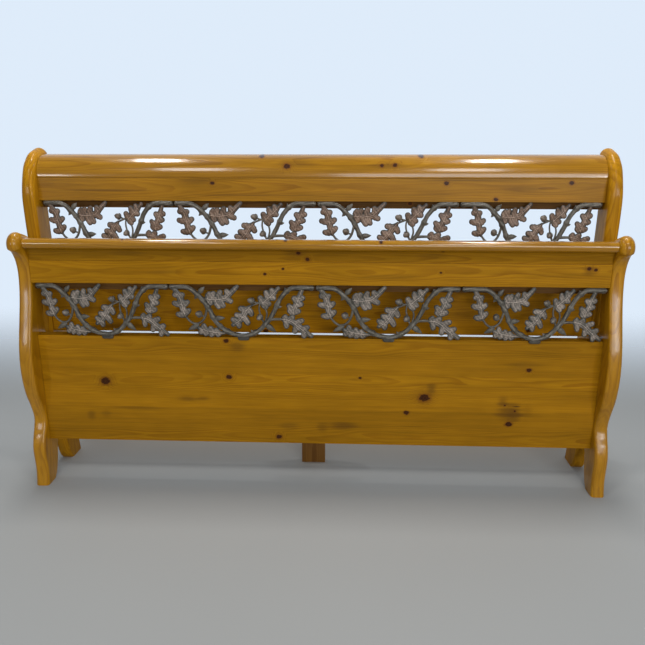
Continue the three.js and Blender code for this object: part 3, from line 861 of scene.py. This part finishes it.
def add_leaf(shell, leaf, index):
    veins = leaf_veins(leaf)
    body = leaf["body"]
    every = np.vstack(veins)
    low, high = every.min(0) - 14, every.max(0) + 14
    rows = int((high[1] - low[1]) / (LEAF_STEP * 0.866)) + 1
    columns = int((high[0] - low[0]) / LEAF_STEP) + 2
    grid = np.array([
        (low[0] + (c + 0.5 * (r % 2)) * LEAF_STEP, low[1] + r * LEAF_STEP * 0.866)
        for r in range(rows) for c in range(columns)
    ])
    triangles = []
    for r in range(rows - 1):
        for c in range(columns - 1):
            a, b = r * columns + c, r * columns + c + 1
            d, e = a + columns, b + columns
            triangles += [(a, b, d), (b, e, d)] if r % 2 == 0 else [(a, e, d), (a, b, e)]
    triangles = np.array(triangles)
    centres = grid[triangles].mean(1)
    triangles = triangles[leaf_field(centres, veins, index, body) > 0]
    edges = {}
    for tri in triangles:
        for a, b in ((tri[0], tri[1]), (tri[1], tri[2]), (tri[2], tri[0])):
            key = (min(a, b), max(a, b))
            edges[key] = None if key in edges else (a, b)
    rim = [e for e in edges.values() if e is not None]
    rim_points = sorted({int(i) for e in rim for i in e})
    for _ in range(3):  # the rim moves onto the outline
        q = grid[rim_points]
        f = leaf_field(q, veins, index, body)
        gx = (leaf_field(q + [0.05, 0], veins, index, body) - f) / 0.05
        gy = (leaf_field(q + [0, 0.05], veins, index, body) - f) / 0.05
        square = np.maximum(gx * gx + gy * gy, 0.2)
        move = np.stack([gx, gy], 1) * (-f / square)[:, None]
        grid[rim_points] = q + np.clip(move, -1.2, 1.2)
    inside = np.ones(len(grid), bool)
    inside[rim_points] = False
    for vein in veins:  # points near a vein move onto its crest
        d, share, nearest = segment_distance(grid, vein)
        snap = inside & (d < LEAF_STEP * 0.48) & (share < 0.97) & (share > 0.01)
        grid[snap] = nearest[snap]
        inside[snap] = False

    used = sorted({int(i) for tri in triangles for i in tri})
    renumber = {old: new for new, old in enumerate(used)}
    flat = grid[used]
    edge = np.maximum(leaf_field(flat, veins, index, body), 0)
    d0, share, _ = segment_distance(flat, veins[0])
    base_lift, tip_lift = leaf["lift"]
    lift = base_lift + (tip_lift - base_lift) * share + leaf["cup"] * (d0 / 24) ** 2
    lift = lift + 0.9 * np.sin(share * 9 + index)
    puff = 2.6 * (1 - bell(edge, 3.4))
    ribs = 1.5 * bell(d0, 1.25) * (1.1 - 0.6 * share)
    groove = bell(d0, 3.4)
    for vein in veins[1:]:
        d, along, _ = segment_distance(flat, vein)
        ribs = np.maximum(ribs, 1.1 * bell(d, 1.1) * (1.1 - 0.8 * along))
        groove = np.maximum(groove, bell(d, 2.8) * (1.0 - 0.5 * along))
    ribs = ribs * (1 - bell(edge, 2.0))
    front = lift + puff + ribs * 1.25 - groove * 0.8
    veiny = np.clip(ribs / 1.2, 0, 1)
    face = 0.68 - 0.62 * groove * (1 - veiny) + 0.1 * np.sin(flat[:, 0] * 0.5 + flat[:, 1] * 0.37)
    relief = 0.1 + (face - 0.1) * (1 - bell(edge, 3.4)) + 0.45 * veiny
    n = len(used)
    verts = [(s, t, h) for (s, t), h in zip(flat, front)]
    verts += [(s, t, h - 2.4) for (s, t), h in zip(flat, lift)]
    faces = [tuple(renumber[int(i)] for i in tri) for tri in triangles]
    faces += [tuple(n + renumber[int(i)] for i in reversed(tri)) for tri in triangles]
    for a, b in rim:
        a, b = renumber[int(a)], renumber[int(b)]
        faces.append((b, a, n + a, n + b))
    shell.put(verts, faces, np.concatenate([relief, np.full(n, 0.3)]), 1.0)


def lug(shell, s, t, h, corner=3.0):
    """A rounded lug: a bevelled block that carries a screw."""
    sides, squareness = 16, 0.5

    def ring(inset, level):
        points = []
        for k in range(sides):
            a = 2 * math.pi * (k + 0.5) / sides
            cs, sn = math.cos(a), math.sin(a)
            u = math.copysign(abs(cs) ** squareness, cs)
            v = math.copysign(abs(sn) ** squareness, sn)
            points.append((
                (s[0] + s[1]) / 2 + u * ((s[1] - s[0]) / 2 - inset),
                (t[0] + t[1]) / 2 + v * ((t[1] - t[0]) / 2 - inset),
                level,
            ))
        return points

    levels = [
        (0.0, h[0]), (0.0, h[1] - corner * 0.6), (corner * 0.3, h[1] - corner * 0.15),
        (corner, h[1]),
    ]
    verts = [p for inset, level in levels for p in ring(inset, level)]
    shell.put(verts, ring_faces(len(levels), sides), 0.35, 0.0)


def leafage():
    """Everything on a casting but its vine and lugs."""
    shell = Shell()
    for through, start, end in STEMS:
        tube(shell, through, start, end, 9, 3.0, lift=0.3, bark=0.03)
    for i, leaf in enumerate(LEAVES):
        add_leaf(shell, leaf, i)
    for root, axis, radius in ACORNS:
        acorn(shell, root, axis, radius)
    for root, tip, half in BUDS:
        bud(shell, root, tip, half)
    return shell


def casting(unit, rest):
    shell = Shell()
    shift, scale = unit["shift"], unit["scale"]
    left, right = unit["vine"]
    vine = [(left, RIM), *((shift + scale * s, t) for s, t in VINE), (right, RIM)]
    knuckles = [(shift + scale * s, t) for s, t in KNUCKLES]
    tube(shell, vine, VINE_RADIUS, VINE_RADIUS, 14, 3.4, bark=0.09, knuckles=knuckles)
    places = [(shift + scale * s, t, h) for s, t, h in rest.verts]
    shell.put(places, rest.faces, rest.relief, rest.leaf)
    inset_by, width = LUG["inset"], LUG["width"]
    for low in (left + inset_by, right - inset_by - width):
        lug(shell, (low, low + width), LUG["bottom"], LUG["depth"])
    middle, half = shift + scale * MIDDLE_LUG["at"], MIDDLE_LUG["half"]
    ends = (middle - half, middle + half)
    lug(shell, ends, MIDDLE_LUG["height"], MIDDLE_LUG["depth"], corner=5.0)
    return shell


def add_castings(prefix, front, panel_top, material):
    rest = leafage()
    for i, unit in enumerate(UNITS):
        node = f"{prefix}_leaf_casting_{i + 1}"
        plane = front / MM - CASTING_DEPTH
        shell = casting(unit, rest)
        start = unit["start"]
        verts = [
            ((start + s) * MM, (plane - h) * MM, panel_top + t * MM)
            for s, t, h in shell.verts
        ]
        obj = make_object(f"{node}_cast", verts, shell.faces, material, crease=50)
        for name, values in (("relief", shell.relief), ("leaf", shell.leaf)):
            attribute = obj.data.attributes.new(name, "FLOAT", "POINT")
            attribute.data.foreach_set("value", np.array(values, np.float32))
        stand_for(obj, node)


# ---- Screws ----
CASTING_SCREW, PLATE_SCREW = 3.4, 3.6  # radii of the heads
VINE_FRONT = 6.2  # of the casting screws' seats in front of the castings' middle plane
PLATE_SCREWS = (9, 77, 141)  # heights over the foot of a plate


def screw_head(centre, axis, radius, verts, faces):
    """A domed cross-recess head; centre is on the face it clamps."""
    axis = Vector(axis)
    side = Vector((0, 0, 1)) if abs(axis.z) < 0.5 else Vector((1, 0, 0))
    other = axis.cross(side)
    sides = 32
    profile = [  # (along, radius), and no radius where the wall follows the cross
        (-0.1, 1.0), (0.12, 1.0), (0.34, 0.82), (0.46, 0.5), (0.47, None), (0.2, None), (0.16, 0.1),
    ]
    start = len(verts)
    for x, r in profile:
        for k in range(sides):
            a = 2 * math.pi * k / sides
            lobed = 0.16 + 0.32 * abs(math.cos(2 * a)) ** 5
            q = r if r is not None else lobed * (1.0 if x > 0.4 else 0.8)
            spin = side * (math.cos(a) * q) + other * (math.sin(a) * q)
            verts.append(tuple(Vector(centre) + (axis * x + spin) * radius * MM))
    faces.extend(ring_faces(len(profile), sides, start))


def add_screws(name, places, material):
    verts, faces = [], []
    for centre, axis, radius in places:
        screw_head(centre, axis, radius, verts, faces)
    obj = make_object(name, verts, faces, material, crease=35)
    return stand_for(obj, None)


# ---- Boards kept from the frame ----
def dress(node, material, bevel):
    obj = nodes[node]
    mesh = obj.data
    mesh.materials.clear()
    mesh.materials.append(material)
    mesh.normals_split_custom_set([(0.0, 0.0, 0.0)] * len(mesh.loops))
    mesh.shade_flat()
    modifier = obj.modifiers.new("eased_edges", "BEVEL")
    modifier.width = bevel * MM
    modifier.segments = 2
    modifier.limit_method = "ANGLE"
    modifier.angle_limit = math.radians(40)


# Knots by piece: (along, across, radius), across measured up from the floor.
KNOTS = {
    "footboard_panel": [
        (-752, 392, 14), (-308, 414, 9), (-312, 547, 8), (-134, 185, 9), (155, 417, 4),
        (382, 346, 17), (321, 288, 8), (737, 454, 7), (682, 252, 10), (700, 300, 4), (664, 322, 4),
    ],
    "footboard_frieze_board": [
        (-171, 785, 5), (-110, 803, 4), (418, 794, 4), (903, 812, 6), (925, 808, 5),
    ],
    "footboard_cove_moulding": [(-95, 893, 6), (-57, 858, 7), (-27, 836, 7), (420, 870, 5)],
    "footboard_crest_roll": [(-98, 905, 5), (215, 900, 5), (-640, 905, 4)],
    "headboard_front_rail_board": [
        (-363, 1076, 6), (440, 1078, 7), (860, 1080, 7), (610, 1024, 7), (-787, 1010, 6),
    ],
    "headboard_crest_roll": [
        (-105, 1132, 10), (220, 1135, 6), (264, 1137, 7), (-195, 1166, 7), (355, 1166, 7),
    ],
    "headboard_panel": [
        (-640, 480, 9), (-190, 545, 8), (330, 505, 10), (760, 560, 8), (60, 460, 6),
    ],
    "footboard_post_left": [(-1004, 420, 4)],
    "footboard_post_right": [],
    "headboard_post_left": [(-1000, 1010, 4)],
    "headboard_post_right": [],
}
# Smudges by piece: (along, across, half length, half height, strength).
SMUDGES = {
    "footboard_panel": [
        (-275, 530, 26, 20, 0.5), (-460, 328, 34, 9, 0.45), (-405, 330, 22, 7, 0.4),
        (-815, 262, 15, 20, 0.4), (-760, 268, 20, 16, 0.3), (405, 380, 16, 20, 0.5),
        (98, 232, 48, 15, 0.55), (22, 226, 20, 18, 0.4), (655, 335, 18, 20, 0.45),
        (680, 296, 40, 34, 0.6), (-752, 392, 40, 26, 0.25), (382, 346, 46, 34, 0.3),
        (705, 318, 15, 3, 1.0), (-96, 228, 36, 14, 0.35), (700, 285, 22, 30, 0.4),
        (-640, 290, 90, 7, 0.3), (742, 300, 20, 26, 0.2), (720, 470, 50, 16, 0.25),
    ],
    "footboard_cove_moulding": [
        (-70, 870, 40, 30, 0.4), (390, 850, 50, 16, 0.25), (-640, 860, 60, 12, 0.25),
    ],
    "footboard_frieze_board": [
        (905, 808, 22, 16, 0.5), (-520, 790, 60, 7, 0.3), (250, 780, 80, 8, 0.25),
    ],
    "headboard_front_rail_board": [
        (-420, 1082, 60, 10, 0.35), (400, 1040, 90, 8, 0.25), (700, 1060, 70, 9, 0.3),
        (-700, 1050, 150, 4, 0.5), (-250, 1035, 200, 3, 0.45), (520, 1088, 180, 3, 0.45),
    ],
    "headboard_crest_roll": [
        (-80, 1140, 70, 10, 0.35), (242, 1138, 60, 9, 0.4), (600, 1130, 60, 8, 0.25),
    ],
    "headboard_panel": [
        (-700, 560, 120, 14, 0.6), (-350, 500, 90, 12, 0.5), (120, 560, 150, 10, 0.6),
        (480, 480, 90, 14, 0.5), (800, 520, 70, 20, 0.5),
    ],
}

SLAT_TONES = (1.0, 0.92, 1.05, 0.97, 1.02)
# The headboard panel's wood is lighter, to make up for the little light that reaches it.
BOARDS = [  # node, axis, look, plank width, tone, edge easing
    ("footboard_frieze_board", "x", VARNISHED, None, 1.08, 1.6),
    ("footboard_inner_rail_board", "x", VARNISHED, None, 1.0, 1.2),
    ("footboard_core_batten", "x", PAINTED_SHADE_PINE, None, 1.0, 0.8),
    ("footboard_panel", "x", VARNISHED, 133, 1.0, 1.6),
    ("footboard_panel_batten", "x", VARNISHED, None, 0.9, 1.2),
    ("footboard_beam_cleat", "x", RAW, None, 0.9, 1.0),
    ("headboard_back_rail_board", "x", VARNISHED, None, 0.95, 1.2),
    ("headboard_front_rail_board", "x", FRONT_POST, None, 1.0, 1.6),
    ("headboard_core_batten", "x", PAINTED_SHADE_PINE, None, 0.9, 0.8),
    ("headboard_panel", "x", VARNISHED, 96, 1.4, 1.6),
    ("headboard_panel_top_batten", "x", VARNISHED, None, 0.9, 1.2),
    ("headboard_panel_lower_batten", "x", PAINTED_SHADE_PINE, None, 1.0, 1.2),
    ("headboard_stretcher", "x", VARNISHED, None, 0.9, 1.5),
    ("headboard_beam_cleat", "x", RAW, None, 0.9, 1.0),
    ("headboard_centre_leg", "z", PAINTED_SHADE_PINE, None, 1.5, 1.5),
    ("side_rail_left", "x", VARNISHED, None, 1.0, 2.0),
    ("side_rail_right", "x", VARNISHED, None, 0.95, 2.0),
    ("slat_ledger_left", "x", RAW, None, 0.95, 1.0),
    ("slat_ledger_right", "x", RAW, None, 1.0, 1.0),
    *((f"slat_{i}", "x", RAW, None, tone, 1.5) for i, tone in enumerate(SLAT_TONES, 1)),
    ("centre_beam", "x", RAW, None, 0.9, 2.0),
    ("centre_beam_leg", "x", RAW, None, 0.95, 2.0),
]


def knots_for(node, axis, low, high):
    """The piece's own knots, or a few placed by a fixed draw."""
    if node in KNOTS:
        return KNOTS[node]
    draw = random.Random(node + " knots")
    a0, a1 = (low.x, high.x) if axis == "x" else (low.z, high.z)
    c0, c1 = (low.z, high.z) if axis == "x" else (low.x, high.x)
    length, width = (a1 - a0) / MM, (c1 - c0) / MM
    count = min(7, int(length * max(width, 60) / 30000) + 1) if length > 300 else 1
    return [
        (
            a0 / MM + length * (i + draw.uniform(0.15, 0.85)) / count,
            c0 / MM + width * draw.uniform(0.15, 0.85),
            draw.uniform(4.0, 9.5),
        )
        for i in range(count)
    ]


POST_DEPTH, MOULDING_DEPTH = 0.12, 0.4  # how far the grain changes through posts and mouldings


def wood_for(node, axis, look, plank, tone, depth=1.0):
    low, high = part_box(node)
    knots = knots_for(node, axis, low, high)
    smudges = SMUDGES.get(node, ())
    return pine(f"pine_{node}", axis, look, low, high, knots, smudges, plank, tone, depth)


for node, axis, look, plank, tone, bevel in BOARDS:
    dress(node, wood_for(node, axis, look, plank, tone), bevel)

for prefix, post, outwards, plane, seam in (
    ("footboard", FOOT_POST, -1, FOOT_PLANE, FOOT_SEAM),
    ("headboard", HEAD_POST, 1, HEAD_PLANE, HEAD_SEAM),
):
    for side, label in ((-1, "left"), (1, "right")):
        node = f"{prefix}_post_{label}"
        look = FRONT_POST if prefix == "footboard" else REAR_POST
        # Painted light: the posts' wood is 1.2 times lighter, for the highlights along their rounded
        # fronts.
        wood = wood_for(node, "z", look, None, 1.2, depth=POST_DEPTH)
        add_post(node, post, side, outwards, plane, wood)
    for name, section in (("crest_roll", roll_section()), ("cove_moulding", cove_section())):
        node = f"{prefix}_{name}"
        # Painted shade: the cove moulding's wood is 0.8 times darker, for the shade under the
        # crest's nose.
        look, tone = (ROLLED, 1.0) if name == "crest_roll" else (VARNISHED, 0.8)
        wood = wood_for(node, "x", look, None, tone, depth=MOULDING_DEPTH)
        add_moulding(node, section, outwards, plane, seam, wood)

foot_iron = cast_iron(
    "iron_footboard", rgb(0.022, 0.019, 0.015), rgb(0.058, 0.060, 0.050), rgb(0.150, 0.125, 0.102),
    rgb(0.41, 0.34, 0.285),
)
# Painted shade: the headboard's castings, set back behind the footboard, get a browner and mostly
# darker copy of the footboard's iron.
head_iron_painted_shade = cast_iron(
    "iron_headboard_painted_shade", rgb(0.020, 0.016, 0.012), rgb(0.055, 0.047, 0.038), rgb(0.16, 0.103, 0.072),
    rgb(0.38, 0.28, 0.215),
)
add_castings("footboard", FOOT_PLANE, FOOT_PANEL_TOP, foot_iron)
add_castings("headboard", HEAD_FRONT, HEAD_PANEL_TOP, head_iron_painted_shade)

steel = zinc_steel()
for prefix in ("footboard", "headboard"):
    for label in ("left", "right"):
        dress(f"{prefix}_strike_plate_{label}", steel, 0.5)
for label in ("left", "right"):
    for end in ("head", "foot"):
        dress(f"rail_hook_plate_{label}_{end}", steel, 0.5)

to_screw = LUG["inset"] + LUG["width"] / 2
for prefix, front, top in (
    ("footboard", FOOT_PLANE, FOOT_PANEL_TOP),
    ("headboard", HEAD_FRONT, HEAD_PANEL_TOP),
):
    y = front - (CASTING_DEPTH + VINE_FRONT) * MM
    places = []
    for unit in UNITS:
        for s in (unit["vine"][0] + to_screw, unit["vine"][1] - to_screw):
            x = (unit["start"] + s) * MM
            places.append(((x, y, top + RIM * MM), (0, -1, 0), CASTING_SCREW))
    add_screws(f"{prefix}_casting_screws", places, foot_iron)

for prefix in ("footboard", "headboard"):
    for label in ("left", "right"):
        low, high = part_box(f"{prefix}_strike_plate_{label}")
        facing = 1 if prefix == "footboard" else -1
        y = high.y if facing > 0 else low.y
        x = (low.x + high.x) / 2
        y = y - facing * 0.3 * MM
        places = [((x, y, low.z + d * MM), (0, facing, 0), PLATE_SCREW) for d in PLATE_SCREWS]
        add_screws(f"{prefix}_{label}_plate_screws", places, steel)
for label in ("left", "right"):
    for end, direction in (("head", -1), ("foot", 1)):
        low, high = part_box(f"rail_hook_plate_{label}_{end}")
        x = low.x + 3 * MM if direction > 0 else high.x - 3 * MM
        y = (low.y + high.y) / 2
        places = [((x, y, low.z + d * MM), (direction, 0, 0), PLATE_SCREW) for d in PLATE_SCREWS]
        add_screws(f"rail_{label}_{end}_plate_screws", places, steel)


# ---- Floor, light and camera ----
FADE = (2.4, 0.5)  # y where the floor has faded out behind the bed, and where it is still solid
FLOOR_REACH = 16.0
CEILING = 2.6


def add_floor():
    t = Tree("pale_floor")
    coords = t.add("TexCoord", out=3)
    cloud = t.noise(coords, scale=0.6, detail=3.0)
    color = t.mix(cloud, rgb(0.37, 0.37, 0.355), rgb(0.41, 0.41, 0.395))
    split = t.add("SeparateXYZ", coords)
    solid = t.smooth(split.node.outputs[1], *FADE)
    material = t.finish(Base_Color=color, Roughness=0.9, Specular_IOR_Level=0.1, Alpha=solid)
    a = FLOOR_REACH
    verts = [(-a, -a, 0), (a, -a, 0), (a, a, 0), (-a, a, 0)]
    mesh = bpy.data.meshes.new("floor")
    mesh.from_pydata(verts, [], [(0, 1, 2, 3)])
    mesh.materials.append(material)
    floor = place_in_scene("floor", mesh)


def aim(obj, place, direction):
    obj.location = place
    obj.rotation_mode = "QUATERNION"
    obj.rotation_quaternion = direction.to_track_quat("-Z", "Y")


def add_light(name, place, target, size, energy):
    data = bpy.data.lights.new(name, "AREA")
    data.shape = "RECTANGLE"
    data.size, data.size_y = size
    data.energy = energy
    aim(place_in_scene(name, data), place, Vector(target) - Vector(place))


def add_world():
    """A pale studio, brighter behind the bed than in front of it."""
    world = bpy.data.worlds.new("studio")
    world.use_nodes = True
    tree = world.node_tree
    background = tree.nodes["Background"]
    background.inputs["Color"].default_value = (0.79, 0.90, 1.03, 1.0)
    direction = tree.nodes.new("ShaderNodeTexCoord")
    split = tree.nodes.new("ShaderNodeSeparateXYZ")
    strength = tree.nodes.new("ShaderNodeMapRange")
    strength.interpolation_type = "SMOOTHSTEP"
    for socket, value in zip(list(strength.inputs)[1:5], (0.1, 0.75, 0.2, 0.93)):
        socket.default_value = value
    tree.links.new(direction.outputs["Generated"], split.inputs[0])
    tree.links.new(split.outputs[1], strength.inputs[0])
    tree.links.new(strength.outputs[0], background.inputs["Strength"])
    bpy.context.scene.world = world


CAMERA = {"x": 0.114, "ahead": 2.179, "z": 1.24, "yaw": -2.39, "pitch": 15.93, "lens": 36.92}


def add_camera():
    data = bpy.data.cameras.new("camera")
    data.lens = CAMERA["lens"]
    data.sensor_width = 36.0
    camera = place_in_scene("camera", data)
    yaw, pitch = math.radians(CAMERA["yaw"]), math.radians(CAMERA["pitch"])
    forward = Vector((
        math.sin(yaw) * math.cos(pitch), math.cos(yaw) * math.cos(pitch), -math.sin(pitch),
    ))
    aim(camera, (CAMERA["x"], FOOT_PLANE - CAMERA["ahead"], CAMERA["z"]), forward)
    bpy.context.scene.camera = camera


add_floor()
add_world()
for x in (-0.97, 0.90):
    add_light(f"over_bed_{x:+.0f}", (x, 0.05, CEILING), (x, 0.0, 0), (0.22, 0.5), 17)
    add_light(f"room_{x:+.0f}", (x, -1.8, CEILING), (x, 0.2, 0.4), (0.45, 0.6), 10)
for x in (-3.0, 2.8):
    add_light(f"side_{x:+.0f}", (x, -4.4, 1.65), (x / 3, 0.2, 0.9), (0.5, 0.8), 20)
add_light("far_fill", (1.7, -6.5, 2.4), (0.1, 0.0, 0.6), (3.6, 2.4), 155)
add_camera()
bpy.context.scene.view_settings.view_transform = "Standard"
